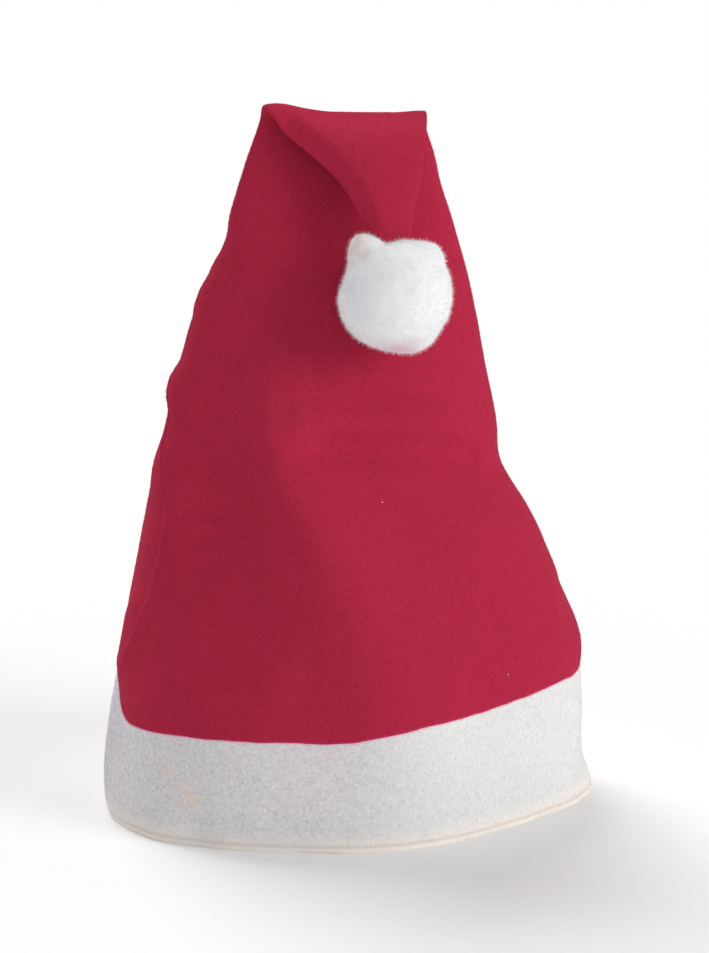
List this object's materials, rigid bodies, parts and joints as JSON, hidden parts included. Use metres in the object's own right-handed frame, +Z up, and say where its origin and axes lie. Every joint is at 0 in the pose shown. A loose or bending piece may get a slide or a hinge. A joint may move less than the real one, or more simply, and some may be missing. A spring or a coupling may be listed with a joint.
{
  "type": "santa hat",
  "caption": "Red felt cone hat standing on its open white felt band, its point folded over to the front and ending in a white plush pompom.",
  "frame": {"origin": "on the surface that the hat stands on, under the middle of its outer box", "axes": "+Z up, +X to the hat's right-hand side as seen from the front, -Y towards the front where the point hangs"},
  "size_m": [0.2016, 0.1818, 0.2839],
  "materials": {
    "red_felt": "matt needle-punched crimson felt",
    "white_felt": "matt needle-punched white felt",
    "white_plush": "short soft white plush"
  },
  "bodies": {
    "root": {"crown_front": "red_felt", "crown_back": "red_felt", "brim_band": "white_felt", "pompom": "white_plush"}
  },
  "joints": []
}
